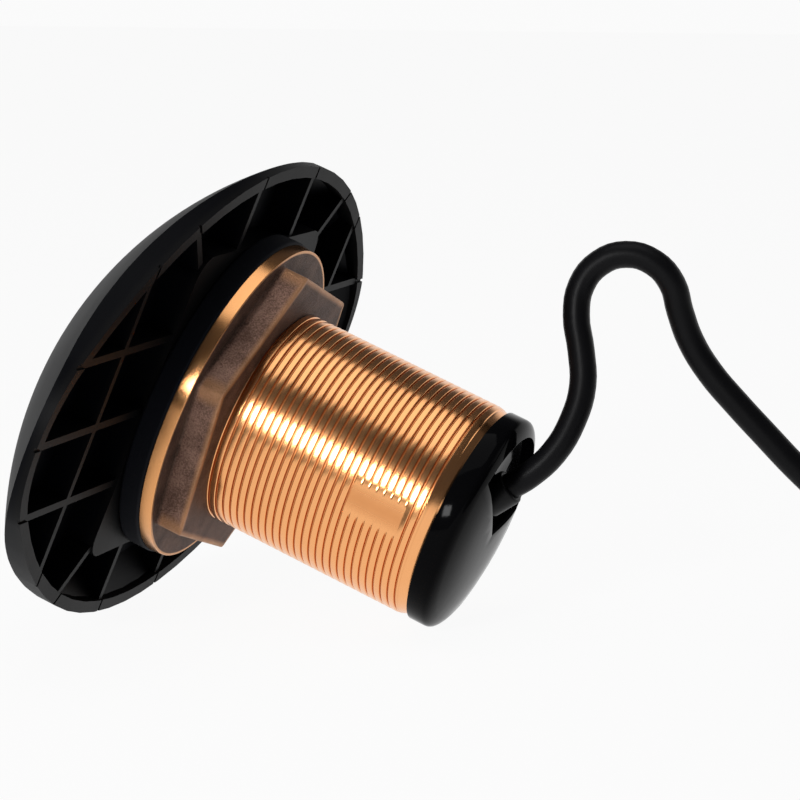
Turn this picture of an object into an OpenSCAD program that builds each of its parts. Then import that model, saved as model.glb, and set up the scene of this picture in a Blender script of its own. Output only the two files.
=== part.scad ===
// Sonar transducer with a threaded bronze stem, an oval ribbed housing, a hull nut and its own cable.
// The part lies on its side as it comes to rest: the housing's long edge and the cap touch the floor.
// Local sizes: stem along +Z with the housing's back at height zero, housing length along Y, width along X.
// All lengths are in millimetres.

/* [Housing] */
// Length of the oval housing
housing_length = 182; // [160:1:210]
// Width of the oval housing
housing_width = 110; // [104:1:130]
// Radius of the rounded ends of the oval
housing_end_radius = 28; // [22:1:36]
// Depth of the crowned face below the back
housing_depth = 27; // [26:0.5:34]
// Height of the plain wall left at the ends of the crown
edge_height = 2.2; // [1.6:0.1:3]
// Width of the flat rim around the back
rim_width = 2.8; // [2:0.1:4]
// Thickness of the ribs on the back
rib_thickness = 1.8; // [1.2:0.1:2.6]
// Depth of the open cells between the ribs
cell_depth = 7; // [5:0.5:8]
// Spacing of the ribs that run lengthways
long_rib_pitch = 17.5; // [14:0.5:20]
// Distance of the outer cross ribs from the middle
cross_rib_offset = 61; // [54:1:66]
// Distance of the side ribs from the middle
side_rib_offset = 16; // [12:0.5:20]
// Half width of the square pad under the washer
pad_half = 36.5; // [34:0.5:39]
// Corner radius of that pad
pad_corner = 6; // [3:0.5:9]

/* [Stem] */
// Outer diameter of the threaded stem
stem_diameter = 50.8; // [48:0.1:53]
// Length of the stem above the back of the housing
stem_length = 65.5; // [60:0.5:90]
// Diameter of the bore through the stem
bore_diameter = 34; // [28:0.5:36]
// Diameter of the plain spigot that enters the housing
spigot_diameter = 42; // [41:0.2:44]
// Length of the tapered lead at the stem's end
lead_length = 3; // [2:0.5:5]
// Depth of the taper at the stem's end
lead_depth = 1.2; // [0.6:0.1:1.8]
// Depth of the smooth flat milled on the thread
flat_depth = 1.1; // [0.6:0.1:1.6]
// Length of that flat
flat_length = 18; // [12:1:22]

/* [Nut and washer] */
// Thickness of the soft washer under the nut
washer_thickness = 5.2; // [3:0.1:8]
// Diameter of the soft washer
washer_diameter = 77.4; // [74:0.2:80]
// Diameter of the nut's round flange
flange_diameter = 76.6; // [74:0.2:79]
// Thickness of the flange
flange_thickness = 2.9; // [2:0.1:4]
// Size of the hexagon over its corners
hex_corners = 73; // [68:0.5:75]
// Height of the hexagon above the flange
hex_height = 6.4; // [4:0.2:10]

/* [Cap] */
// Height of the cap's straight wall
cap_wall = 3.5; // [2:0.1:6]
// Radius of the cap's rounded edge
cap_round = 3; // [2:0.1:4]
// Rise of the dome above the rounded edge
dome_rise = 1.4; // [0.8:0.1:2.4]
// Depth of the cable pocket below the dome's top
pocket_depth = 5; // [3:0.2:5.6]

/* [Cable] */
// Diameter of the cable
cable_diameter = 6; // [5:0.2:7]
// Real length of the cable in metres
cable_length = 6; // [5:0.5:8]
// Thickness of the tie around the coil
tie_thickness = 1.2; // [0.8:0.1:2]
// Diameter of the plug
plug_diameter = 18; // [16:0.5:22]
// Length of the plug's body
plug_length = 34; // [28:1:44]

/* [Hidden] */
$fn = 72;
half_l = housing_length/2;
half_w = housing_width/2;
crown = housing_depth - edge_height;
long_radius = (half_l*half_l + crown*crown)/(2*crown);
cross_radius = (half_w*half_w + crown*crown)/(2*crown);
stem_r = stem_diameter/2;
bore_r = bore_diameter/2;
spigot_r = spigot_diameter/2;
floor_t = 2.4;
web = 2;
ceiling = cell_depth + web;
rib_drop = 0.6;
groove_w = 0.9;
groove_d = 0.5;
// element chamber behind the acoustic window
room_l = 56;
room_w = 30;
room_end = 16;
window_t = 3;
clip_t = 1.2;
clip_r = spigot_r + 2.4;
clip_groove = 1.4;
spigot_end = ceiling + clip_t + 0.6;
carrier_t = 1.5;
carrier_low = spigot_end + carrier_t;
carrier_l = 44;
carrier_w = 24.5;
post_r = 3;
post_x = 15;
post_y = 30;
screw_r = 1.2;
screw_head_r = 2.4;
screw_head_h = 1;
screw_bite = 1.4;
bar_w = 6;
bar_l = 44;
bar_x = 11;
pad_t = 0.8;
bar_t = 2;
element_r = 7.5;
element_t = 5;
sensor_r = 3;
sensor_y = -34;
board_w = 13;
board_l = 18;
board_t = 1.4;
board_y = 24;
oring_r = 1.3;
oring_z = -3.6;
lead_r = 2.6;
// nut and washer
washer_r = washer_diameter/2;
flange_r = flange_diameter/2;
hex_r = hex_corners/2;
hex_turn = 13.5;
seat_z = washer_thickness;
hex_z = seat_z + flange_thickness;
nut_top = hex_z + hex_height;
root_relief = 0.9;
root_r = stem_r - root_relief;
// flat on the thread and slot in the stem's end
flat_turn = -91;
flat_z = stem_length - lead_length - flat_length - 0.5;
slot_turn = -166;
slot_w = 3.2;
slot_d = 2.4;
// cap
cap_r = stem_r;
cap_centre = stem_length + cap_wall;
cap_top = cap_centre + cap_round + dome_rise;
dome_base = cap_r - cap_round;
dome_radius = (dome_base*dome_base + dome_rise*dome_rise)/(2*dome_rise);
cap_plug = 6;
pocket_turn = 163;
pocket_half = 66;
pocket_r = cap_r - 3.2;
pocket_floor = cap_top - pocket_depth;
gland_lean = 56;
gland_r = cable_diameter/2 + 1;
gland_l = 7;
gland_x = -5.4;
// rest position: the rim's long edge and the cap's rounded edge lie on the floor
rest_dx = half_w - (cap_r - cap_round);
rest_dz = cap_centre;
rest_arm = sqrt(rest_dx*rest_dx + rest_dz*rest_dz);
tilt = acos(cap_round/rest_arm) - atan2(rest_dz, rest_dx);
lift = half_w*cos(tilt);
face_reach = cross_radius*(1 - cos(tilt)) + housing_depth*cos(tilt);
cap_reach = (cap_r - cap_round)*sin(tilt) + cap_centre*cos(tilt) + cap_round;
shift = (face_reach - cap_reach)/2;
// cable route on the floor frame, starting at the gland's outer end
gland_z = pocket_floor + 0.6;
cable_r = cable_diameter/2;
exit_x = gland_x - gland_l*sin(gland_lean);
exit_z = gland_z + gland_l*cos(gland_lean);
start_x = -exit_x*sin(tilt) + exit_z*cos(tilt) + shift;
start_z = -exit_x*cos(tilt) - exit_z*sin(tilt) + lift;
lean_up = gland_lean - tilt;
// tied coil of the length that isn't laid out: rows of turns, both ends on its outside
coil_x = 172;
coil_y = -7;
free_length = 328;
coil_columns = 4;
coil_rows = 6;
// each row changes over a little before its last turn is full
turns = coil_columns*coil_rows - 0.9;
coil_r = (cable_length*1000 - free_length)/(2*PI*turns);
coil_w = coil_columns*cable_diameter;
coil_h = coil_rows*cable_diameter;
coil_in = coil_r - coil_w/2;
coil_out = coil_r + coil_w/2;
coil_side = coil_out + cable_r + 0.2;
coil_low = tie_thickness + cable_r;
coil_high = tie_thickness + coil_h - cable_r;
function on_coil(a, z) = [coil_x + coil_side*cos(a), coil_y + coil_side*sin(a), z];
cable_route = [
  [start_x, 0, start_z],
  [start_x + 5*cos(lean_up), 0, start_z + 5*sin(lean_up)],
  [58.4, 1.5, 40],
  [62, 4, 47],
  [63.5, 6.5, 54.5],
  [62.5, 8.5, 62],
  [60.8, 10.5, 69.5],
  [61.5, 12, 76],
  [65.3, 13, 80.9],
  [71, 14, 82.9],
  [77, 15, 81.2],
  [81, 16, 76.6],
  [82.6, 17, 70.5],
  [84.8, 18, 64],
  [89, 19, 57],
  [95, 20, 50],
  [101.5, 21.2, 43],
  [108, 22.8, 36],
  [115, 25, 29.2],
  [122, 27.9, 22.8],
  [129, 31.2, 17.2],
  [136, 34.5, 12.4],
  [143, 37.8, 8.2],
  on_coil(113, coil_low + 1.2),
  on_coil(104, coil_low + 0.2),
  on_coil(95, coil_low)
];
plug_r = plug_diameter/2;
// tail: down the coil's side from its top row, then straight into the plug
tail_turn = 60;
tail_sweep = 75;
tail_steps = 10;
tail_l = 10;
plug_turn = tail_turn - tail_sweep - 90;
tail_foot = on_coil(tail_turn - tail_sweep, plug_r);
tail_heading = [cos(plug_turn), sin(plug_turn), 0];
tail_route = concat(
  [for (i = [0:tail_steps]) let(t = i/tail_steps)
    on_coil(tail_turn - tail_sweep*t, plug_r + (coil_high - plug_r)*(1 + cos(180*t))/2)],
  [tail_foot + tail_heading*tail_l/2, tail_foot + tail_heading*tail_l]
);
relief_l = 26;
socket_r = plug_r - 2;
socket_depth = 12;
pin_r = 1.1;
pin_bore = 0.55;
pin_l = 8;
pin_ring = 4;
pin_count = 5;
tie_angle = 9;
tie_turn = 200;

// Points of a two-arc oval with half length a, half width b and end radius e, drawn in by g
function oval_k(a, b, e) = ((a - e)*(a - e) - (b - e)*(b - e))/(2*(b - e));
function oval_lim(a, b, e) = atan2(a - e, oval_k(a, b, e));
function quarter(a, b, e, g, n) = concat(
  [for (i = [0:n]) let(k = oval_k(a, b, e), t = oval_lim(a, b, e)*i/n)
    [(b + k - g)*cos(t) - k, (b + k - g)*sin(t)]],
  [for (i = [1:n]) let(t0 = oval_lim(a, b, e), t = t0 + (90 - t0)*i/n)
    [(e - g)*cos(t), a - e + (e - g)*sin(t)]]
);
function closed(q) = concat(
  q,
  [for (i = [len(q) - 2:-1:0]) [-q[i][0], q[i][1]]],
  [for (i = [1:len(q) - 1]) [-q[i][0], -q[i][1]]],
  [for (i = [len(q) - 2:-1:1]) [q[i][0], -q[i][1]]]
);
function oval_points(a, b, e, g) = closed(quarter(a, b, e, g, 10));

module oval_block(a, b, e, g, low, high) {
  translate([0, 0, low])
    linear_extrude(height = high - low)
      polygon(oval_points(a, b, e, g));
}

// Crowned solid whose outer skin is the acoustic face, drawn in by g
module crown_solid(g) {
  translate([0, 0, long_radius - housing_depth])
    rotate([0, 90, 0])
      rotate_extrude($fn = 180)
        intersection() {
          translate([long_radius - cross_radius, 0])
            circle(r = cross_radius - g, $fn = 180);
          translate([long_radius - housing_depth - 6, -half_w - 1])
            square([housing_depth + 12, 2*half_w + 2]);
        }
}

module rounded_square(half, corner, low, high) {
  translate([-half, -half + corner, low])
    cube([2*half, 2*(half - corner), high - low]);
  translate([-half + corner, -half, low])
    cube([2*(half - corner), 2*half, high - low]);
  for (sx = [-1, 1], sy = [-1, 1])
    translate([sx*(half - corner), sy*(half - corner), low])
      cylinder(r = corner, h = high - low, $fn = 32);
}

module bar_line(x, y, turn, w, low, high) {
  translate([x, y, low])
    rotate([0, 0, turn])
      translate([-housing_length, -w/2, 0])
        cube([2*housing_length, w, high - low]);
}

module rib_lines(w, low, high) {
  for (i = [-1:1])
    bar_line(i*long_rib_pitch, 0, 90, w, low, high);
  for (s = [-1, 1]) {
    bar_line(0, s*cross_rib_offset, 0, w, low, high);
    bar_line(0, s*side_rib_offset, 0, w, low, high);
    bar_line(0, 0, s*46, w, low, high);
  }
}

module hull_body() {
  intersection() {
    oval_block(half_l, half_w, housing_end_radius, 0, -housing_depth - 1, 0);
    crown_solid(0);
  }
}

module cells() {
  difference() {
    intersection() {
      oval_block(half_l, half_w, housing_end_radius, rim_width, -cell_depth, 1);
      crown_solid(floor_t);
    }
    rib_lines(rib_thickness, -cell_depth - 1, -rib_drop);
    rounded_square(pad_half, pad_corner, -cell_depth - 1, 0);
  }
}

module rim_grooves() {
  difference() {
    intersection() {
      rib_lines(groove_w, -groove_d, 1);
      oval_block(half_l, half_w, housing_end_radius, -1, -1, 1);
    }
    oval_block(half_l, half_w, housing_end_radius, rim_width + 0.5, -1, 2);
  }
}

module element_room(low, high) {
  oval_block(room_l, room_w, room_end, 0, low, high);
}

// Puts a module built on the stem's own axis into its lying position
module lying() {
  translate([shift, 0, lift])
    rotate([0, 90 + tilt, 0])
      children();
}

module ring(r_out, r_in, low, high) {
  difference() {
    translate([0, 0, low])
      cylinder(r = r_out, h = high - low);
    translate([0, 0, low - 1])
      cylinder(r = r_in, h = high - low + 2);
  }
}

module housing() {
  color([0.05, 0.05, 0.06])
    lying()
      difference() {
        hull_body();
        cells();
        rim_grooves();
        element_room(-housing_depth - 1, -ceiling);
        translate([0, 0, -ceiling - 1])
          cylinder(r = spigot_r, h = ceiling + 2);
        for (sx = [-1, 1], sy = [-1, 1])
          translate([sx*post_x, sy*post_y, -ceiling - 1])
            cylinder(r = screw_r, h = screw_bite + 1, $fn = 16);
      }
}

module acoustic_window() {
  color([0.07, 0.07, 0.08])
    lying()
      difference() {
        intersection() {
          hull_body();
          element_room(-housing_depth - 1, -ceiling);
        }
        crown_solid(window_t);
        translate([0, sensor_y, -housing_depth - 1])
          cylinder(r = sensor_r, h = housing_depth, $fn = 32);
      }
}

module stem() {
  color([0.72, 0.5, 0.24])
    lying()
      difference() {
        union() {
          cylinder(r = root_r, h = nut_top + 1);
          translate([0, 0, nut_top])
            cylinder(r = stem_r, h = stem_length - lead_length - nut_top);
          translate([0, 0, stem_length - lead_length])
            cylinder(r1 = stem_r, r2 = stem_r - lead_depth, h = lead_length);
          translate([0, 0, -spigot_end])
            cylinder(r = spigot_r, h = spigot_end + 1);
        }
        translate([0, 0, -spigot_end - 1])
          cylinder(r = bore_r, h = stem_length + spigot_end + 2);
        rotate_extrude()
          translate([spigot_r, oring_z])
            circle(r = oring_r, $fn = 24);
        difference() {
          translate([0, 0, -ceiling - clip_t])
            cylinder(r = spigot_r + 1, h = clip_t);
          translate([0, 0, -ceiling - clip_t - 1])
            cylinder(r = spigot_r - clip_groove, h = clip_t + 2);
        }
        rotate([0, 0, flat_turn])
          translate([stem_r - flat_depth, -stem_r, flat_z])
            cube([stem_r, 2*stem_r, flat_length]);
        rotate([0, 0, slot_turn])
          translate([bore_r - 1, -slot_w/2, stem_length - slot_d])
            cube([stem_r, slot_w, slot_d + 1]);
      }
}

module stem_oring() {
  color([0.03, 0.03, 0.03])
    lying()
      intersection() {
        rotate_extrude()
          translate([spigot_r, oring_z])
            circle(r = oring_r, $fn = 24);
        translate([0, 0, -ceiling])
          cylinder(r = spigot_r, h = ceiling);
      }
}

module stem_clip() {
  color([0.7, 0.7, 0.72])
    lying()
      ring(clip_r, spigot_r - clip_groove, -ceiling - clip_t, -ceiling);
}

module element_carrier() {
  color([0.8, 0.8, 0.76])
    lying()
      difference() {
        union() {
          oval_block(carrier_l, carrier_w, room_end - 2, 0, -carrier_low, -spigot_end);
          for (sx = [-1, 1], sy = [-1, 1])
            translate([sx*post_x, sy*post_y, -spigot_end - 0.5])
              cylinder(r = post_r, h = spigot_end + 0.5 - ceiling, $fn = 32);
        }
        for (sx = [-1, 1], sy = [-1, 1])
          translate([sx*post_x, sy*post_y, -carrier_low - 1])
            cylinder(r = screw_r, h = carrier_low, $fn = 16);
      }
}

module carrier_screws() {
  color([0.75, 0.75, 0.77])
    lying()
      for (sx = [-1, 1], sy = [-1, 1])
        translate([sx*post_x, sy*post_y, 0]) {
          translate([0, 0, -carrier_low - screw_head_h])
            cylinder(r = screw_head_r, h = screw_head_h, $fn = 24);
          translate([0, 0, -carrier_low - 0.2])
            cylinder(r = screw_r, h = carrier_low + 0.2 - ceiling + screw_bite, $fn = 16);
        }
}

module bar_pair(x, w, l, low, high) {
  for (s = [-1, 1])
    translate([s*x - w/2, -l/2, low])
      cube([w, l, high - low]);
}

module backing_pads() {
  color([0.25, 0.25, 0.27])
    lying()
      bar_pair(bar_x, bar_w, bar_l, -carrier_low - pad_t, -carrier_low);
}

module scan_bars() {
  color([0.85, 0.82, 0.7])
    lying()
      bar_pair(bar_x, bar_w, bar_l, -carrier_low - pad_t - bar_t, -carrier_low - pad_t);
}

module depth_element() {
  color([0.86, 0.83, 0.72])
    lying()
      translate([0, 0, -carrier_low - element_t])
        cylinder(r = element_r, h = element_t);
}

module temperature_sensor() {
  color([0.75, 0.6, 0.3])
    lying()
      intersection() {
        hull_body();
        translate([0, sensor_y, -housing_depth])
          cylinder(r = sensor_r, h = housing_depth - carrier_low, $fn = 32);
      }
}

module circuit_board() {
  color([0.1, 0.35, 0.15])
    lying()
      translate([-board_w/2, board_y - board_l/2, -carrier_low - board_t])
        cube([board_w, board_l, board_t]);
}

module inner_lead() {
  color([0.05, 0.05, 0.05])
    lying()
      translate([0, 0, -spigot_end])
        cylinder(r = lead_r, h = spigot_end + stem_length - cap_plug, $fn = 32);
}

module hull_washer() {
  color([0.06, 0.07, 0.1])
    lying()
      ring(washer_r, root_r, 0, washer_thickness);
}

module hull_nut() {
  color([0.7, 0.48, 0.25])
    lying()
      difference() {
        union() {
          translate([0, 0, seat_z])
            cylinder(r = flange_r, h = flange_thickness, $fn = 96);
          translate([0, 0, hex_z - 0.5])
            rotate([0, 0, hex_turn])
              cylinder(r = hex_r, h = hex_height + 0.5, $fn = 6);
        }
        translate([0, 0, -1])
          cylinder(r = root_r, h = nut_top + 2);
      }
}

// Half section of the cap: straight wall, rounded edge, shallow dome
function cap_section() = concat(
  [[0, stem_length], [cap_r, stem_length]],
  [for (i = [0:6]) let(t = 90*i/6)
    [cap_r - cap_round + cap_round*cos(t), cap_centre + cap_round*sin(t)]],
  [for (i = [1:5]) let(x = dome_base*(1 - i/5))
    [x, cap_top - dome_radius + sqrt(dome_radius*dome_radius - x*x)]]
);

module cable_pocket() {
  rotate([0, 0, pocket_turn])
    translate([0, 0, pocket_floor])
      intersection() {
        cylinder(r = pocket_r, h = pocket_depth + 1);
        linear_extrude(height = pocket_depth + 1)
          polygon([
            [-1, 0],
            [2*cap_r*cos(pocket_half), -2*cap_r*sin(pocket_half)],
            [3*cap_r, -2*cap_r*sin(pocket_half)],
            [3*cap_r, 2*cap_r*sin(pocket_half)],
            [2*cap_r*cos(pocket_half), 2*cap_r*sin(pocket_half)]
          ]);
      }
}

module gland_body() {
  translate([gland_x, 0, gland_z])
    rotate([0, -gland_lean, 0])
      cylinder(r = gland_r, h = gland_l, $fn = 32);
}

module stem_cap() {
  color([0.03, 0.03, 0.035])
    lying()
      difference() {
        union() {
          rotate_extrude()
            polygon(cap_section());
          translate([0, 0, stem_length - cap_plug])
            cylinder(r = bore_r, h = cap_plug + 0.5);
          rotate([0, 0, slot_turn])
            translate([bore_r - 1, -slot_w/2, stem_length - slot_d])
              cube([cap_r - 1.6 - bore_r + 1, slot_w, slot_d + 0.5]);
        }
        cable_pocket();
        gland_body();
      }
}

module cable_gland() {
  color([0.05, 0.05, 0.055])
    lying()
      gland_body();
}

// Square-on frame of the route at point i: side and rise of the tube's ring, kept off the up direction
function unit(v) = v/norm(v);
function along(p, i) = unit(p[min(i + 1, len(p) - 1)] - p[max(i - 1, 0)]);
function tube_ring(p, i, r, n, up) = let(d = along(p, i), s = unit(cross(d, up)), u = cross(d, s))
  [for (j = [0:n - 1]) p[i] + r*cos(360*j/n)*s + r*sin(360*j/n)*u];

// Round tube through the points of a route; its rings follow the route's own bends
module tube(p, r, n, up) {
  m = len(p);
  points = [for (i = [0:m - 1]) each tube_ring(p, i, r, n, up)];
  walls = [for (i = [0:m - 2], j = [0:n - 1]) let(k = (j + 1) % n)
    each [[i*n + j, (i + 1)*n + k, i*n + k], [i*n + j, (i + 1)*n + j, (i + 1)*n + k]]];
  ends = [[for (j = [0:n - 1]) j], [for (j = [n - 1:-1:0]) (m - 1)*n + j]];
  polyhedron(points = points, faces = concat(walls, ends));
}

module cable() {
  color([0.04, 0.04, 0.045]) {
    tube(cable_route, cable_r, 10, [0, 1, 0]);
    tube(tail_route, cable_r, 10, [0, 0, 1]);
  }
}

module coil_ring(turn_angle, grow) {
  translate([coil_x, coil_y, tie_thickness])
    rotate([0, 0, tie_turn])
      rotate_extrude(angle = turn_angle)
        translate([coil_in - grow, -grow])
          square([coil_w + 2*grow, coil_h + 2*grow]);
}

module cable_coil() {
  color([0.04, 0.04, 0.045])
    translate([coil_x, coil_y, tie_thickness])
      rotate_extrude()
        translate([coil_in, 0])
          square([coil_w, coil_h]);
}

module coil_tie() {
  color([0.02, 0.02, 0.02])
    difference() {
      coil_ring(tie_angle, tie_thickness);
      cable_coil();
    }
}

// Puts a turned piece on the plug's axis, x mm from the tail's end
module on_plug(x) {
  translate(tail_foot + tail_heading*(tail_l + x))
    rotate([0, 0, plug_turn])
      rotate([0, 90, 0])
        children();
}

module plug_relief() {
  color([0.03, 0.03, 0.03])
    on_plug(0)
      cylinder(r1 = cable_r + 0.8, r2 = plug_r - 2.5, h = relief_l, $fn = 48);
}

module plug_body() {
  color([0.05, 0.05, 0.055])
    on_plug(relief_l)
      difference() {
        union() {
          cylinder(r = plug_r - 1, h = plug_length);
          translate([0, 0, plug_length*0.25])
            cylinder(r = plug_r, h = plug_length*0.4);
        }
        translate([0, 0, plug_length - socket_depth])
          cylinder(r = socket_r, h = socket_depth + 1);
      }
}

// Repeats a contact around the plug's face, x mm up from the insert's foot
module contact_ring(x) {
  for (i = [0:pin_count - 1])
    rotate([0, 0, 360*i/pin_count])
      translate([pin_ring, 0, x])
        children();
}

module plug_insert() {
  color([0.12, 0.12, 0.13])
    on_plug(relief_l + plug_length - socket_depth)
      difference() {
        cylinder(r = socket_r, h = socket_depth);
        contact_ring(socket_depth - pin_l)
          cylinder(r = pin_r, h = pin_l + 1, $fn = 24);
      }
}

module plug_contacts() {
  color([0.85, 0.7, 0.35])
    on_plug(relief_l + plug_length - socket_depth)
      contact_ring(socket_depth - pin_l)
        difference() {
          cylinder(r = pin_r, h = pin_l, $fn = 24);
          translate([0, 0, 1])
            cylinder(r = pin_bore, h = pin_l, $fn = 24);
        }
}

housing();
acoustic_window();
stem();
stem_oring();
stem_clip();
element_carrier();
carrier_screws();
backing_pads();
scan_bars();
depth_element();
temperature_sensor();
circuit_board();
inner_lead();
hull_washer();
hull_nut();
stem_cap();
cable_gland();
cable();
cable_coil();
coil_tie();
plug_relief();
plug_body();
plug_insert();
plug_contacts();
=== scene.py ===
import math

import bpy
from mathutils import Matrix, Vector


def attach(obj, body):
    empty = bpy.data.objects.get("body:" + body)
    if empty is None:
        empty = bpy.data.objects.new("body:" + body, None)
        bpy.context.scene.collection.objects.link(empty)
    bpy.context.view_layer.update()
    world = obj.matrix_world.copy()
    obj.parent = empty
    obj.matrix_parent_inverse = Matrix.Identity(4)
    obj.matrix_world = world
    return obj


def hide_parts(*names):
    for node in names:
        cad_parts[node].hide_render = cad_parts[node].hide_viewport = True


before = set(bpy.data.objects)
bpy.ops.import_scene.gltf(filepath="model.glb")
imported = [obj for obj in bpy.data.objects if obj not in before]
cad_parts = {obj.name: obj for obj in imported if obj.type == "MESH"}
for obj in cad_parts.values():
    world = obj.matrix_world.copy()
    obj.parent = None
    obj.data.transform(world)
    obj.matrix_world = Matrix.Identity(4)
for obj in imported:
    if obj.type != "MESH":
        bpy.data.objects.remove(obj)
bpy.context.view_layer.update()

# Camera, white table and lamps. The table is a plain white sheet that keeps a faint shadow under
# the transducer; a soft lamp stands left of the camera, a large one hangs above, and the room is
# dim, so that the bronze shows dark bands between its highlights.


class Wire:
    """One output in a material's nodes; sums and products of wires become Math nodes."""

    def __init__(self, tree, output):
        self.tree = tree
        self.output = output

    def node(self, kind, settings, sockets, out=0):
        made = self.tree.nodes.new("ShaderNode" + kind)
        for name, value in settings.items():
            setattr(made, name, value)
        for name, value in sockets.items():
            if isinstance(value, Wire):
                self.tree.links.new(value.output, made.inputs[name])
            else:
                made.inputs[name].default_value = value
        return Wire(self.tree, made.outputs[out])

    def math(self, operation, *values):
        return self.node("Math", {"operation": operation}, dict(enumerate(values)))

    def __add__(self, other):
        return self.math("ADD", self, other)

    def __radd__(self, other):
        return self.math("ADD", other, self)

    def __sub__(self, other):
        return self.math("SUBTRACT", self, other)

    def __rsub__(self, other):
        return self.math("SUBTRACT", other, self)

    def __mul__(self, other):
        return self.math("MULTIPLY", self, other)

    def larger(self, other):
        return self.math("MAXIMUM", self, other)

    def step(self, low, high):
        """Rises smoothly from 0 at low to 1 at high."""
        return self.node("MapRange", {"interpolation_type": "SMOOTHSTEP"},
                         {"Value": self, "From Min": low, "From Max": high})

    def blend(self, first, second):
        """Colour that goes from first to second as this wire goes from 0 to 1."""
        return self.node("Mix", {"data_type": "RGBA"}, {0: self, 6: first, 7: second}, 2)

    def noise(self, scale, detail=3.0, roughness=0.55):
        return self.node("TexNoise", {}, {"Vector": self, "Scale": scale, "Detail": detail,
                                          "Roughness": roughness})

    def relief(self, strength, distance):
        return self.node("Bump", {}, {"Height": self, "Strength": strength,
                                      "Distance": distance})


class Finish:
    """A material with its own shader; coords are the piece's Object coordinates."""

    def __init__(self, name):
        self.material = bpy.data.materials.new(name)
        self.material.use_nodes = True
        tree = self.material.node_tree
        self.shader = tree.nodes["Principled BSDF"]
        self.coords = Wire(tree, tree.nodes.new("ShaderNodeTexCoord").outputs["Object"])

    def set(self, **sockets):
        for name, value in sockets.items():
            socket = self.shader.inputs[name.replace("_", " ")]
            if isinstance(value, Wire):
                value.tree.links.new(value.output, socket)
            else:
                socket.default_value = value
        return self.material


scene = bpy.context.scene
scene.view_settings.view_transform = "Standard"

lens = bpy.data.cameras.new("photo_camera")
lens.sensor_width = 36.0
lens.lens = 141.15
camera = bpy.data.objects.new("photo_camera", lens)
camera.location = (0.2448, -0.6514, 0.1533)
line_of_sight = Vector((-0.3183, 0.9363, -0.1481))
camera.rotation_euler = line_of_sight.to_track_quat("-Z", "Y").to_euler()
scene.collection.objects.link(camera)
scene.camera = camera

TABLE_SIDE, TABLE_DROP, TABLE_GLOW = 8.0, 0.0004, 0.94
bpy.ops.object.select_all(action="DESELECT")
bpy.ops.mesh.primitive_plane_add(size=TABLE_SIDE, location=(0.0, 0.0, -TABLE_DROP))
table = bpy.context.object
table.name = "white_table"
table_white = bpy.data.materials.new("table_white")
table_white.use_nodes = True
tree = table_white.node_tree
tree.nodes.remove(tree.nodes["Principled BSDF"])
path = Wire(tree, tree.nodes.new("ShaderNodeLightPath").outputs["Is Camera Ray"])
rays = path.output.node.outputs
glossy = Wire(tree, rays["Is Glossy Ray"])
through = Wire(tree, rays["Is Transmission Ray"])
seen = path.math("MINIMUM", path + glossy + through, 1.0)
matt = seen.node("BsdfDiffuse", {}, {"Color": (0.86, 0.86, 0.86, 1.0)})
glow = seen.node("Emission", {}, {"Color": (1.0, 1.0, 1.0, 1.0), "Strength": 1.0})
sheet = seen.node("MixShader", {}, {0: seen * TABLE_GLOW, 1: matt, 2: glow})
tree.links.new(sheet.output, tree.nodes["Material Output"].inputs["Surface"])
table.data.materials.append(table_white)

world = bpy.data.worlds.new("studio")
scene.world = world
world.use_nodes = True
tree = world.node_tree
room = tree.nodes["Background"]
room.inputs["Strength"].default_value = 1.0
path = Wire(tree, tree.nodes.new("ShaderNodeLightPath").outputs["Is Camera Ray"])
toward = Wire(tree, tree.nodes.new("ShaderNodeTexCoord").outputs["Generated"])
deep, high = (toward.node("SeparateXYZ", {}, {"Vector": toward}, i) for i in (1, 2))
backdrop = deep.step(0.1, 0.6) * (1.0 - high.step(0.25, 0.50))
walls = backdrop.blend((0.07, 0.07, 0.075, 1.0), (0.95, 0.95, 0.95, 1.0))
tree.links.new(path.blend(walls, (0.96, 0.96, 0.96, 1.0)).output, room.inputs["Color"])

lamps_aim = Vector((0.0, 0.0, 0.04))
for name, place, size, power in (
    ("soft_lamp", (-0.139, -1.129, 0.42), 0.22, 7.0),
    ("top_lamp", (0.06, -0.10, 1.15), 0.95, 3.8),
):
    data = bpy.data.lights.new(name, "AREA")
    data.size = size
    data.energy = power
    lamp = bpy.data.objects.new(name, data)
    lamp.location = place
    lamp.rotation_euler = (lamps_aim - Vector(place)).to_track_quat("-Z", "Y").to_euler()
    scene.collection.objects.link(lamp)

# Cable. One length of 6 mm round black cable, 6 m with its moulded plug. It leaves the gland
# upwards, folds over in a loose arch, comes down to the table and is wound into a tied coil of
# about 23 turns, four wide and six high.
CABLE = 0.006
CABLE_LENGTH = 6.0
UNWOUND = 0.328
gland_exit = (0.049202, 0.0, 0.032392)
arch = [
    gland_exit, (0.053397, 0.0, 0.035112), (0.0584, 0.0015, 0.040), (0.062, 0.004, 0.047),
    (0.0635, 0.0065, 0.0545), (0.0625, 0.0085, 0.062), (0.0608, 0.0105, 0.0695),
    (0.0615, 0.012, 0.076), (0.0653, 0.013, 0.0809), (0.071, 0.014, 0.0829),
    (0.077, 0.015, 0.0812), (0.081, 0.016, 0.0766), (0.0826, 0.017, 0.0705),
    (0.0848, 0.018, 0.064), (0.089, 0.019, 0.057), (0.095, 0.020, 0.050),
    (0.1015, 0.0212, 0.043), (0.108, 0.0228, 0.036), (0.115, 0.025, 0.0292),
    (0.122, 0.0279, 0.0228), (0.129, 0.0312, 0.0172), (0.136, 0.0345, 0.0124),
    (0.143, 0.0378, 0.0082),
]
coil_x, coil_y = 0.172, -0.007
coil_columns, coil_rows = 4, 6
coil_turns = coil_columns * coil_rows - 0.9
coil_clear, coil_lift = 0.0002, 0.0012
coil_r = (CABLE_LENGTH - UNWOUND) / (2 * math.pi * coil_turns)
coil_side = coil_r + coil_columns * CABLE / 2 + CABLE / 2 + coil_clear
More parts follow.
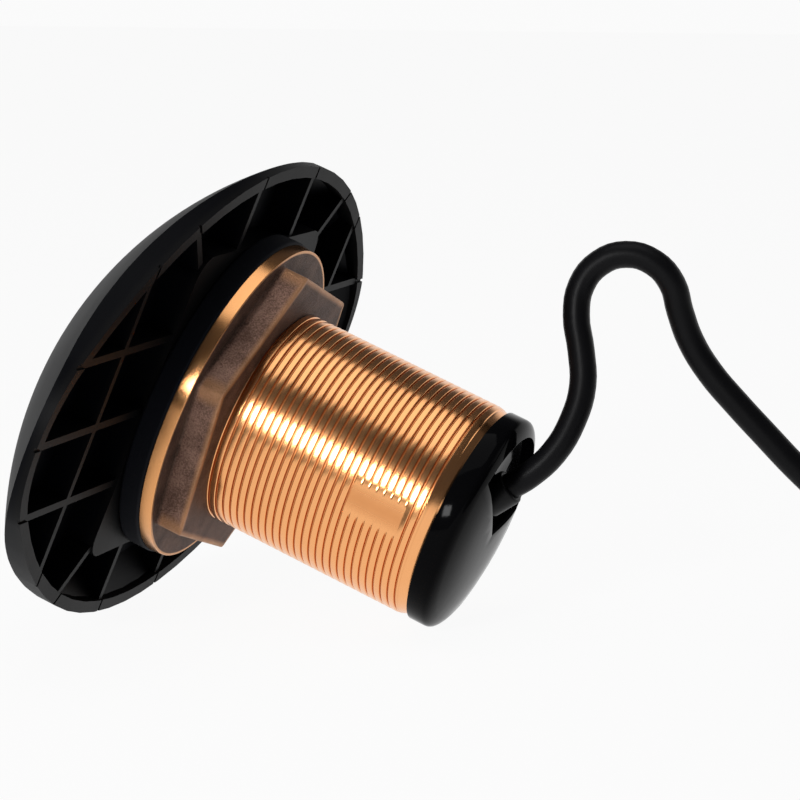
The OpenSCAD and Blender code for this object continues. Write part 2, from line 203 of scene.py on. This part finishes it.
outer_turn = coil_side - CABLE - coil_clear
coil_low = coil_lift + CABLE / 2
coil_high = coil_low + (coil_rows - 1) * CABLE
plug_r = 0.009


def on_coil(angle, radius, height):
    turn = math.radians(angle)
    return (coil_x + radius * math.cos(turn), coil_y + radius * math.sin(turn), height)


# Each row of the coil steps one diameter in or out once a turn, and each step up to the next row
# comes just before the last step of the row below, so that no turn lies in another.
step_in, step_up = 45.0, 29.0
steps = [(0.0, step_in, outer_turn - coil_side, 0.0)]
at, gate = step_in, 0.0
for row in range(coil_rows):
    for turn in range(coil_columns - 1):
        at += (gate - at) % 360.0
        steps.append((at, step_in, CABLE if row % 2 else -CABLE, 0.0))
        at += step_in
    if row < coil_rows - 1:
        at += (gate - step_up - at) % 360.0
        steps.append((at, step_up, 0.0, CABLE))
        at += step_up
        gate = (gate - step_up - step_in) % 360.0
at += (gate - at) % 360.0
steps.append((at, step_in, coil_side - outer_turn, 0.0))
wound = at + step_in

landing = ((113.0, 0.0012), (104.0, 0.0002))
coil_start, coil_spacing = 95.0, 15.0
tail_start, tail_spacing, tail_points = 60.0, 7.5, 10
route = arch + [on_coil(angle, coil_side, coil_low + above) for angle, above in landing]
samples = round(wound / coil_spacing)
for i in range(samples + 1):
    angle = wound * i / samples
    radius, height = coil_side, coil_low
    for begin, width, inwards, upwards in steps:
        part = min(max((angle - begin) / width, 0.0), 1.0)
        radius += inwards * part * part * (3 - 2 * part)
        height += upwards * part * part * (3 - 2 * part)
    route.append(on_coil(coil_start - angle, radius, height))
for i in range(1, tail_points + 1):
    fall = (1 + math.cos(math.pi * i / tail_points)) / 2
    route.append(on_coil(tail_start - tail_spacing * i, coil_side,
                         plug_r + (coil_high - plug_r) * fall))
plug_turn = math.radians(-105.0)
heading = Vector((math.cos(plug_turn), math.sin(plug_turn), 0.0))
tail_foot = Vector(route[-1])
boot_foot = tail_foot + heading * 0.010
route += [tuple(tail_foot + heading * 0.005), tuple(boot_foot)]

line = bpy.data.curves.new("cable_line", "CURVE")
line.dimensions = "3D"
line.bevel_depth = CABLE / 2
line.bevel_resolution = 4
line.resolution_u = 4
line.use_fill_caps = True
spline = line.splines.new("BEZIER")
spline.bezier_points.add(len(route) - 1)
for point, place in zip(spline.bezier_points, route):
    point.co = place
    point.handle_left_type = point.handle_right_type = "AUTO"
cable = bpy.data.objects.new("cable_run", line)
scene.collection.objects.link(cable)

jacket = Finish("cable_jacket_black")
grain = jacket.coords.noise(1400.0, 4.0)
smear = jacket.coords.noise(60.0, 2.0)
cable.data.materials.append(jacket.set(
    Base_Color=smear.blend((0.003, 0.003, 0.0035, 1.0), (0.007, 0.007, 0.008, 1.0)),
    Specular_IOR_Level=0.10, Roughness=0.34 + smear * 0.16, Normal=grain.relief(0.12, 0.0002)))
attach(cable, "root")
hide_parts("cable", "cable_coil")

# Housing. One moulding in satin black plastic: flat rim, a grid of thin ribs over open cells, a
# square pad under the washer and a crowned underside. Its edges are lightly rounded, as from a
# mould. The part lies on the housing's edge, so the stem leans below the level.
TILT = math.radians(23.036074)
LYING_AT, LYING_TURN = (-0.022282086, 0.0, 0.050614226), math.pi / 2 + TILT
LYING = Matrix.Translation(LYING_AT) @ Matrix.Rotation(LYING_TURN, 4, "Y")
WELD = 0.000002


def whole_copy(node, name):
    """A copy of a CAD node with its loose triangles joined into whole faces."""
    bpy.ops.object.select_all(action="DESELECT")
    piece = bpy.data.objects.new(name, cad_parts[node].data.copy())
    scene.collection.objects.link(piece)
    piece.data.materials.clear()
    piece.select_set(True)
    bpy.context.view_layer.objects.active = piece
    bpy.ops.mesh.customdata_custom_splitnormals_clear()
    bpy.ops.object.mode_set(mode="EDIT")
    bpy.ops.mesh.select_all(action="SELECT")
    bpy.ops.mesh.remove_doubles(threshold=WELD)
    bpy.ops.mesh.dissolve_limited(angle_limit=math.radians(0.6))
    bpy.ops.mesh.select_all(action="DESELECT")
    bpy.ops.object.mode_set(mode="OBJECT")
    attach(piece, "root")
    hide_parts(node)
    return piece


def even_faces(piece, smooth):
    """Shades the active piece smooth, with the normals of its large faces kept."""
    bpy.ops.object.shade_smooth_by_angle(angle=math.radians(smooth))
    even = piece.modifiers.new("even_faces", "WEIGHTED_NORMAL")
    even.keep_sharp = True
    bpy.ops.object.modifier_apply(modifier=even.name)


def soften(piece, width, segments, smooth=35.0, even=True):
    """Rounds the sharp edges of the active piece and shades it smooth between them."""
    edges = piece.modifiers.new("soft_edges", "BEVEL")
    edges.width = width
    edges.segments = segments
    edges.limit_method = "ANGLE"
    edges.angle_limit = math.radians(40.0)
    bpy.ops.object.modifier_apply(modifier=edges.name)
    if even:
        even_faces(piece, smooth)
    else:
        bpy.ops.object.shade_smooth_by_angle(angle=math.radians(smooth))


def local(finish):
    """Coordinates on the stem's own axis: the housing's back at z 0 and the stem along +z."""
    return finish.coords.node("Mapping", {"vector_type": "TEXTURE"},
                              {"Vector": finish.coords, "Location": LYING_AT,
                               "Rotation": (0.0, LYING_TURN, 0.0)})


def part_of(vector, axis):
    return vector.node("SeparateXYZ", {}, {"Vector": vector}, "XYZ".index(axis))


housing = whole_copy("housing", "housing_moulding")
soften(housing, 0.0003, 2)
black = Finish("housing_satin_black")
# Painted light: the rim and rib tops on the back are painted lighter, as a painted highlight, and
# everything below them (the cells and the crowned side) is painted darker.
back = part_of(local(black), "Z").step(-0.0022, -0.0004)
grain = black.coords.noise(1800.0, 3.0)
cloud = black.coords.noise(35.0, 3.0)
housing.data.materials.append(black.set(
    Base_Color=back.blend((0.001, 0.0012, 0.0024, 1.0), (0.004, 0.004, 0.0045, 1.0)),
    Specular_IOR_Level=0.06, Roughness=0.42 + cloud * 0.14, Normal=grain.relief(0.10, 0.0002)))

# Acoustic window. The thin moulded face that the sound passes through, bonded flush into the
# crowned underside; its plastic is a little smoother than the housing's.
window = whole_copy("acoustic_window", "window_face")
soften(window, 0.0002, 2)
face = Finish("window_fine_black")
cloud = face.coords.noise(40.0, 3.0)
window.data.materials.append(face.set(
    Base_Color=cloud.blend((0.007, 0.0075, 0.009, 1.0), (0.012, 0.0125, 0.015, 1.0)),
    Specular_IOR_Level=0.25, Roughness=0.28 + cloud * 0.10,
    Normal=face.coords.noise(2200.0).relief(0.06, 0.0002)))

# Stem. Turned from bronze bar: 14 threads to the inch cut over its whole outside, a tapered lead
# at the end, a smooth flat milled on one side, and a plain spigot that enters the housing. The
# thread is a skin of its own, and the bar inside it is drawn in below the thread's root.
PITCH = 0.0254 / 14
STEM_R, ROOT_R = 0.0254, 0.0249
CORE_R, CORE_LOW = ROOT_R - 0.0004, 0.0140
stem_core = whole_copy("stem", "stem_thread")
lay_back = LYING.inverted()
for vertex in stem_core.data.vertices:
    place = lay_back @ vertex.co
    reach = math.hypot(place.x, place.y)
    if place.z > CORE_LOW and reach > CORE_R:
        shrink = CORE_R / reach
        vertex.co = LYING @ Vector((place.x * shrink, place.y * shrink, place.z))

# One tooth of the thread: three sides of a square, cut into ten points from root to root.
bpy.ops.object.select_all(action="DESELECT")
bpy.ops.mesh.primitive_plane_add(size=0.001)
thread = bpy.context.object
bpy.ops.object.mode_set(mode="EDIT")
bpy.ops.mesh.delete(type="ONLY_FACE")
bpy.ops.mesh.select_all(action="DESELECT")
bpy.ops.object.mode_set(mode="OBJECT")
thread.data.edges[0].select = True
bpy.ops.object.mode_set(mode="EDIT")
bpy.ops.mesh.select_mode(type="EDGE")
bpy.ops.mesh.delete(type="EDGE")
bpy.ops.mesh.select_all(action="SELECT")
bpy.ops.mesh.subdivide(number_cuts=2)
bpy.ops.object.mode_set(mode="OBJECT")
beside = {vertex.index: [] for vertex in thread.data.vertices}
for edge in thread.data.edges:
    one, two = edge.vertices
    beside[one].append(two)
    beside[two].append(one)
order = [next(index for index, near in beside.items() if len(near) == 1)]
while len(order) < len(beside):
    order.append(next(index for index in beside[order[-1]] if index not in order))
THREAD_FOOT, THREAD_TURNS, TURN_STEPS = 0.0118, 32, 144
tooth = ((0.0, 0.0), (0.05, 0.0), (0.12, 0.7), (0.17, 0.93), (0.23, 1.0),
         (0.77, 1.0), (0.83, 0.93), (0.88, 0.7), (0.95, 0.0), (1.0, 0.0))
for index, (rise, out) in zip(order, tooth):
    thread.data.vertices[index].co = (ROOT_R + (STEM_R - ROOT_R) * out, 0.0,
                                      THREAD_FOOT + PITCH * rise)
screw = thread.modifiers.new("turns", "SCREW")
screw.screw_offset = PITCH
screw.iterations = THREAD_TURNS
screw.steps = screw.render_steps = TURN_STEPS
screw.use_merge_vertices = True
screw.merge_threshold = WELD
bpy.ops.object.modifier_apply(modifier=screw.name)
bpy.ops.object.mode_set(mode="EDIT")
for height, below in ((0.0143, True), (0.06545, False)):
    bpy.ops.mesh.select_all(action="SELECT")
    bpy.ops.mesh.bisect(plane_co=(0, 0, height), plane_no=(0, 0, 1), clear_inner=below,
                        clear_outer=not below)
bpy.ops.mesh.select_all(action="SELECT")
bpy.ops.mesh.remove_doubles(threshold=WELD)
bpy.ops.mesh.normals_make_consistent(inside=False)
bpy.ops.object.mode_set(mode="OBJECT")

LEAD_FOOT, LEAD_LENGTH, LEAD_DROP = 0.0625, 0.003, 0.0012
FLAT_R, FLAT_LOW, FLAT_HIGH = 0.02505, 0.046, 0.0595
flat_turn = math.radians(-91.0)
flat_half = math.acos(FLAT_R / STEM_R)
for vertex in thread.data.vertices:
    x, y, z = vertex.co
    reach = math.hypot(x, y)
    lead = STEM_R - LEAD_DROP * max(z - LEAD_FOOT, 0.0) / LEAD_LENGTH
    if reach > lead:
        x, y = x * lead / reach, y * lead / reach
    aside = math.remainder(math.atan2(y, x) - flat_turn, 2 * math.pi)
    if FLAT_LOW < z < FLAT_HIGH and abs(aside) < flat_half:
        spread = STEM_R * math.sin(aside)
        x = FLAT_R * math.cos(flat_turn) - spread * math.sin(flat_turn)
        y = FLAT_R * math.sin(flat_turn) + spread * math.cos(flat_turn)
    vertex.co = LYING @ Vector((x, y, z))
stem_core.select_set(True)
bpy.context.view_layer.objects.active = stem_core
bpy.ops.object.join()
even_faces(stem_core, 40.0)


def off_axis(own):
    """Distance from the stem's axis, in the coordinates that local gives."""
    flat = own.node("VectorMath", {"operation": "MULTIPLY"}, {0: own, 1: (1.0, 1.0, 0.0)})
    return own.node("VectorMath", {"operation": "LENGTH"}, {0: flat}, 1)


bronze = Finish("stem_turned_bronze")
own = local(bronze)
# Painted shade: the thread's roots are painted a darker brown than its crests and the lead, as
# shade in the grooves; the crests are also made smoother.
crest = off_axis(own).step(ROOT_R, 0.0253).larger(part_of(own, "Z").step(0.0622, 0.0634))
stain = bronze.coords.noise(90.0, 5.0, 0.65)
turning = own.node("Mapping", {}, {"Vector": own, "Scale": (200.0, 200.0, 5000.0)})
stem_core.data.materials.append(bronze.set(
    Base_Color=crest.blend(stain.blend((0.56, 0.220, 0.075, 1.0), (0.70, 0.290, 0.105, 1.0)),
                           stain.blend((0.88, 0.39, 0.150, 1.0), (0.95, 0.47, 0.200, 1.0))),
    Metallic=1.0, Roughness=0.30 - crest * 0.16 + stain * 0.10,
    Normal=turning.noise(1.0, 2.0).relief(0.02, 0.0001)))

# Washer. A soft ring cut from dark marine rubber. It lies on the housing's pad and is squeezed
# there by the nut's flange.
washer = whole_copy("hull_washer", "washer_ring")
soften(washer, 0.0007, 3)
rubber = Finish("washer_navy_rubber")
cloud = rubber.coords.noise(70.0, 4.0)
washer.data.materials.append(rubber.set(
    Base_Color=cloud.blend((0.002, 0.0025, 0.005, 1.0), (0.005, 0.006, 0.010, 1.0)),
    Specular_IOR_Level=0.12, Roughness=0.62 + cloud * 0.15,
    Normal=rubber.coords.noise(1500.0, 4.0).relief(0.25, 0.0002)))

# Hull nut. A sand-cast bronze hexagon on a round flange: a fine brown skin as cast, with painted
# shade on the level faces and a lighter bronze along the top edges and corners that is partly
# wear and partly a painted highlight, with rounded corners and a fillet at the hexagon's foot.
# The flange's rim is machined to bright metal, up to a thin line on its top.
FLANGE_TOP, NUT_TOP = 0.0081, 0.0145
RIM_FROM, RIM_TAPER = 0.0375, 0.9935
HEX_FROM, HEX_TURN = 0.027, 13.5
nut = whole_copy("hull_nut", "nut_casting")
cast = Finish("nut_cast_bronze")
speck = cast.coords.noise(2600.0, 5.0, 0.65)
patch = cast.coords.noise(160.0, 4.0)
own = local(cast)
sides = []
for k in range(3):
    turn = math.radians(HEX_TURN + 30.0 + 60.0 * k)
    side = own.node("VectorMath", {"operation": "DOT_PRODUCT"},
                    {0: own, 1: (math.cos(turn), math.sin(turn), 0.0)}, 1)
    sides.append(side.math("ABSOLUTE", side))
across = sides[0].larger(sides[1]).larger(sides[2])
reach = off_axis(own)
height = part_of(own, "Z")
# Painted highlight: the hexagon's top edges and corners are painted a lighter, more metallic
# bronze, partly wear and partly a painted highlight and painted reflection of the stem.
brow = height.step(0.0130, 0.0143) * across.step(0.0298, 0.0312)
corner = reach.step(0.0345, 0.0358) * height.step(0.0085, 0.0095)
wear_and_edge_highlight = brow.larger(corner) * (0.35 + patch * 0.5)
# Painted shade: the hexagon's top face and the flange's top with the fillet are painted darker
# than the sides.
level = height.step(0.0140, NUT_TOP) + 1.0 - height.step(0.0082, 0.0090)
lip = reach.step(0.0373, 0.0376) * (1.0 - height.step(0.0083, 0.0087))
bright_metal_and_highlight = wear_and_edge_highlight.larger(lip)
grain = (speck * 0.6 + patch * 0.4).step(0.34, 0.68)
skin = level.blend(grain.blend((0.130, 0.074, 0.055, 1.0), (0.50, 0.300, 0.225, 1.0)),
                   grain.blend((0.055, 0.033, 0.025, 1.0), (0.21, 0.128, 0.096, 1.0)))
nut.data.materials.append(cast.set(
    Base_Color=bright_metal_and_highlight.blend(skin, (0.66, 0.34, 0.16, 1.0)), Specular_IOR_Level=0.10,
    Metallic=0.40 + bright_metal_and_highlight * 0.55, Roughness=0.40 + speck * 0.26 - bright_metal_and_highlight * 0.14,
    Normal=(speck + patch * 0.6).relief(0.9, 0.0004)))
turned = Finish("nut_turned_rim")
rub = turned.coords.noise(300.0, 4.0)
nut.data.materials.append(turned.set(
    Base_Color=rub.blend((0.74, 0.34, 0.125, 1.0), (0.86, 0.42, 0.17, 1.0)),
    Metallic=1.0, Roughness=0.15 + rub * 0.10, Normal=rub.relief(0.05, 0.0002)))

for vertex in nut.data.vertices:
    place = lay_back @ vertex.co
    if math.hypot(place.x, place.y) > RIM_FROM and place.z > FLANGE_TOP - 0.0005:
        vertex.co = LYING @ Vector((place.x * RIM_TAPER, place.y * RIM_TAPER, place.z))
for face in nut.data.polygons:
    place = lay_back @ face.center
    if math.hypot(place.x, place.y) > RIM_FROM and place.z < FLANGE_TOP - 0.0005:
        face.material_index = 1
CAST_ROUND, CORNER, TOP_EDGE, FOOT_FILLET, RIM_EDGE = 0.0036, 0.50, 0.30, 0.28, 0.07
weight = nut.data.attributes.new("bevel_weight_edge", "FLOAT", "EDGE")
for edge in nut.data.edges:
    one, two = (lay_back @ nut.data.vertices[v].co for v in edge.vertices)
    near = min(math.hypot(one.x, one.y), math.hypot(two.x, two.y))
    low, high = sorted((one.z, two.z))
    upright = high - low > 0.001
    if near > RIM_FROM:
        weight.data[edge.index].value = 0.0 if upright else RIM_EDGE
    elif near > HEX_FROM and low > FLANGE_TOP - 0.0002:
        level_edge = TOP_EDGE if low > NUT_TOP - 0.0002 else FOOT_FILLET
        weight.data[edge.index].value = CORNER if upright else level_edge
edges = nut.modifiers.new("cast_edges", "BEVEL")
edges.width = CAST_ROUND
edges.segments = 4
edges.limit_method = "WEIGHT"
bpy.ops.object.modifier_apply(modifier=edges.name)
even_faces(nut, 40.0)

# Cap. A glossy black moulded plug with a low dome, a key that enters the stem's slot and a deep
# pocket where the cable comes out; it is pressed into the stem's bore.
CAP_WALL, CAP_TOP, CAP_ROUND, CROWN = 0.069, 0.0734, 0.003, 2.4
cap = whole_copy("stem_cap", "cap_dome")
for vertex in cap.data.vertices:
    place = lay_back @ vertex.co
    reach = min(math.hypot(place.x, place.y), STEM_R)
    inside = max(reach - (STEM_R - CAP_ROUND), 0.0)
    rise = math.sqrt(max(CAP_ROUND ** 2 - inside ** 2, 0.0))
    if place.z > CAP_WALL and place.z - CAP_WALL > rise - 0.0003:
        crown = (1.0 - (reach / STEM_R) ** CROWN) ** (1 / CROWN)
        vertex.co = LYING @ Vector((place.x, place.y, CAP_WALL + (CAP_TOP - CAP_WALL) * crown))
soften(cap, 0.0003, 3, smooth=40.0, even=False)
gloss = Finish("cap_gloss_black")
cloud = gloss.coords.noise(50.0, 3.0)
cap.data.materials.append(gloss.set(
    Base_Color=cloud.blend((0.002, 0.002, 0.0025, 1.0), (0.004, 0.004, 0.0045, 1.0)),
    Specular_IOR_Level=0.025, Roughness=0.06 + cloud * 0.05,
    Normal=gloss.coords.noise(500.0).relief(0.02, 0.0002)))

# Gland. A short soft sleeve, moulded in black rubber round the cable, which seals it where it
# leaves the cap's pocket.
gland = whole_copy("cable_gland", "gland_sleeve")
soften(gland, 0.0006, 3)
sleeve = Finish("gland_black_rubber")
cloud = sleeve.coords.noise(120.0, 3.0)
gland.data.materials.append(sleeve.set(
    Base_Color=cloud.blend((0.003, 0.003, 0.0035, 1.0), (0.006, 0.006, 0.0065, 1.0)),
    Specular_IOR_Level=0.16, Roughness=0.36 + cloud * 0.12,
    Normal=sleeve.coords.noise(1500.0).relief(0.10, 0.0002)))

# Inner pieces. Seal and spring clip on the spigot, and in the chamber a moulded carrier with its
# screws, fired ceramic elements on soft pads, a brass temperature stud, a small board and the
# inner lead. Their solids stay as they are, and get a finish each.


def dress(node, name, dark, light, metal, rough, scale, uneven, bump):
    """Gives a CAD node a cloudy finish; uneven is how much its roughness varies."""
    finish = Finish(name)
    cloud = finish.coords.noise(scale, 4.0)
    plain = finish.set(Base_Color=cloud.blend((*dark, 1.0), (*light, 1.0)), Metallic=metal,
                       Roughness=rough + cloud * uneven, Normal=cloud.relief(bump, 0.0002))
    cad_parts[node].data.materials.clear()
    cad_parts[node].data.materials.append(plain)


for node, name, dark, light, metal, rough, scale in (
    ("stem_oring", "seal_soft_black",
     (0.008, 0.008, 0.008), (0.015, 0.015, 0.015), 0.0, 0.55, 400.0),
    ("stem_clip", "clip_spring_steel",
     (0.42, 0.42, 0.43), (0.62, 0.62, 0.63), 1.0, 0.30, 900.0),
    ("element_carrier", "carrier_pale_plastic",
     (0.62, 0.61, 0.57), (0.72, 0.71, 0.67), 0.0, 0.50, 300.0),
    ("carrier_screws", "screw_bright_steel",
     (0.50, 0.50, 0.52), (0.68, 0.68, 0.70), 1.0, 0.25, 1200.0),
    ("backing_pads", "pad_grey_foam",
     (0.08, 0.08, 0.085), (0.16, 0.16, 0.17), 0.0, 0.80, 1500.0),
    ("scan_bars", "bar_fired_ceramic",
     (0.68, 0.63, 0.50), (0.82, 0.78, 0.66), 0.0, 0.45, 700.0),
    ("depth_element", "disc_fired_ceramic",
     (0.69, 0.65, 0.53), (0.83, 0.80, 0.70), 0.0, 0.45, 700.0),
    ("temperature_sensor", "stud_turned_brass",
     (0.50, 0.34, 0.14), (0.72, 0.52, 0.24), 1.0, 0.30, 900.0),
    ("circuit_board", "board_green_laminate",
     (0.02, 0.12, 0.05), (0.05, 0.24, 0.11), 0.0, 0.35, 500.0),
    ("inner_lead", "lead_black_jacket",
     (0.010, 0.010, 0.011), (0.020, 0.020, 0.021), 0.0, 0.40, 600.0),
):
    dress(node, name, dark, light, metal, rough, scale, 0.12, 0.15)

# Coil tie. A woven hook-and-loop strap, 10 mm wide, bent round the coil's section with soft
# corners; its free end is pressed on again at the coil's outside.
STRAP, STRAP_WIDTH, STRAP_CUTS = 0.001, 0.010, 4
FLAP_LONG, FLAP_WIDE, FLAP_UP, FLAP_OUT = 0.6, 0.9, 0.08, 1.3
tie_turn, tie_slack = math.radians(200.0), 0.0003
section_wide, section_high = coil_columns * CABLE + tie_slack, coil_rows * CABLE + tie_slack
bpy.ops.object.select_all(action="DESELECT")
bpy.ops.mesh.primitive_plane_add(size=1.0)
tie = bpy.context.object
tie.name = "tie_strap"
bpy.ops.object.mode_set(mode="EDIT")
bpy.ops.transform.resize(value=(section_wide, section_high, 1.0))
bpy.ops.mesh.bevel(offset=CABLE / 2, segments=6, affect="VERTICES")
bpy.ops.mesh.delete(type="ONLY_FACE")
bpy.ops.mesh.select_all(action="SELECT")
for i in range(STRAP_CUTS):
    bpy.ops.mesh.extrude_region_move(
        TRANSFORM_OT_translate={"value": (0.0, 0.0, STRAP_WIDTH / STRAP_CUTS)})
bpy.ops.mesh.select_all(action="SELECT")
bpy.ops.mesh.normals_make_consistent(inside=False)
bpy.ops.object.mode_set(mode="OBJECT")
first = tie.data.polygons[0]
outwards = first.normal.x * first.center.x + first.normal.y * first.center.y > 0
thick = tie.modifiers.new("thick", "SOLIDIFY")
thick.thickness = STRAP
thick.offset = 1.0 if outwards else -1.0
bpy.ops.object.modifier_apply(modifier=thick.name)

bpy.ops.object.select_all(action="DESELECT")
bpy.ops.mesh.primitive_cube_add(size=1.0)
bpy.ops.object.mode_set(mode="EDIT")
bpy.ops.transform.resize(value=(STRAP, section_high * FLAP_LONG, STRAP_WIDTH * FLAP_WIDE))
bpy.ops.transform.translate(value=(section_wide / 2 + STRAP * FLAP_OUT, section_high * FLAP_UP,
                                   STRAP_WIDTH / 2))
bpy.ops.object.mode_set(mode="OBJECT")
tie.select_set(True)
bpy.context.view_layer.objects.active = tie
bpy.ops.object.join()
section_middle = coil_low - CABLE / 2 + coil_rows * CABLE / 2
for vertex in tie.data.vertices:
    radius = coil_r + vertex.co.x
    aside = tie_turn - (vertex.co.z - STRAP_WIDTH / 2) / radius
    vertex.co = (coil_x + radius * math.cos(aside), coil_y + radius * math.sin(aside),
                 section_middle + vertex.co.y)
soften(tie, 0.0003, 2)
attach(tie, "root")
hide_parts("coil_tie")
weave = Finish("tie_woven_black")
warp, weft = (weave.coords.node("TexWave", {"wave_type": "BANDS", "bands_direction": way},
                                {"Vector": weave.coords, "Scale": 420.0}, 1) for way in "ZX")
cloth = warp * weft
tie.data.materials.append(weave.set(
    Base_Color=cloth.blend((0.006, 0.006, 0.007, 1.0), (0.030, 0.030, 0.033, 1.0)),
    Roughness=0.85, Normal=cloth.relief(0.5, 0.0003)))

# Plug. A generic moulded round plug on the cable's far end: a soft tapered relief with five
# grooves, a satin body with a grip band, a hard insert in its nose and five plated contacts.
BOOT, BOOT_THIN, BOOT_WIDE, BOOT_TIP = 0.026, 0.0038, 0.0065, 0.0033
GROOVE_FIRST, GROOVE_APART, GROOVE_DEEP = 0.0045, 0.0042, 0.0005
GROOVE_TOP, GROOVE_FLOOR = 0.0008, 0.0005
profile = [(BOOT_TIP, 0.0), (BOOT_THIN, 0.0005)]
for i in range(5):
    middle = GROOVE_FIRST + GROOVE_APART * i
    rim = BOOT_THIN + (BOOT_WIDE - BOOT_THIN) * middle / BOOT
    profile += [(rim, middle - GROOVE_TOP), (rim - GROOVE_DEEP, middle - GROOVE_FLOOR),
                (rim - GROOVE_DEEP, middle + GROOVE_FLOOR), (rim, middle + GROOVE_TOP)]
profile.append((BOOT_WIDE, BOOT))
bpy.ops.object.select_all(action="DESELECT")
bpy.ops.mesh.primitive_circle_add(vertices=48, radius=BOOT_TIP, fill_type="NGON")
relief = bpy.context.object
relief.name = "relief_boot"
bpy.ops.object.mode_set(mode="EDIT")
for (thin, low), (wide, high) in zip(profile, profile[1:]):
    bpy.ops.mesh.extrude_region_move(TRANSFORM_OT_translate={"value": (0.0, 0.0, high - low)})
    bpy.ops.transform.resize(value=(wide / thin, wide / thin, 1.0))
bpy.ops.mesh.select_all(action="SELECT")
bpy.ops.mesh.normals_make_consistent(inside=False)
bpy.ops.object.mode_set(mode="OBJECT")
boot_turn = heading.to_track_quat("Z", "Y").to_matrix().to_4x4()
relief.data.transform(Matrix.Translation(boot_foot) @ boot_turn)
soften(relief, 0.0002, 2)
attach(relief, "root")
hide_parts("plug_relief")
boot = Finish("boot_soft_black")
cloud = boot.coords.noise(200.0, 3.0)
relief.data.materials.append(boot.set(
    Base_Color=cloud.blend((0.008, 0.008, 0.009, 1.0), (0.014, 0.014, 0.015, 1.0)),
    Roughness=0.50 + cloud * 0.12, Normal=boot.coords.noise(1500.0).relief(0.12, 0.0002)))

body = whole_copy("plug_body", "plug_shell")
soften(body, 0.0006, 3)
shell = Finish("plug_satin_black")
cloud = shell.coords.noise(150.0, 3.0)
body.data.materials.append(shell.set(
    Base_Color=cloud.blend((0.010, 0.010, 0.011, 1.0), (0.018, 0.018, 0.020, 1.0)),
    Roughness=0.34 + cloud * 0.14, Normal=shell.coords.noise(1800.0).relief(0.10, 0.0002)))

for node, name, dark, light, metal, rough in (
    ("plug_insert", "insert_grey_plastic",
     (0.05, 0.05, 0.055), (0.09, 0.09, 0.095), 0.0, 0.50),
    ("plug_contacts", "contact_plated_brass",
     (0.60, 0.42, 0.16), (0.80, 0.62, 0.28), 1.0, 0.22),
):
    dress(node, name, dark, light, metal, rough, 800.0, 0.10, 0.10)
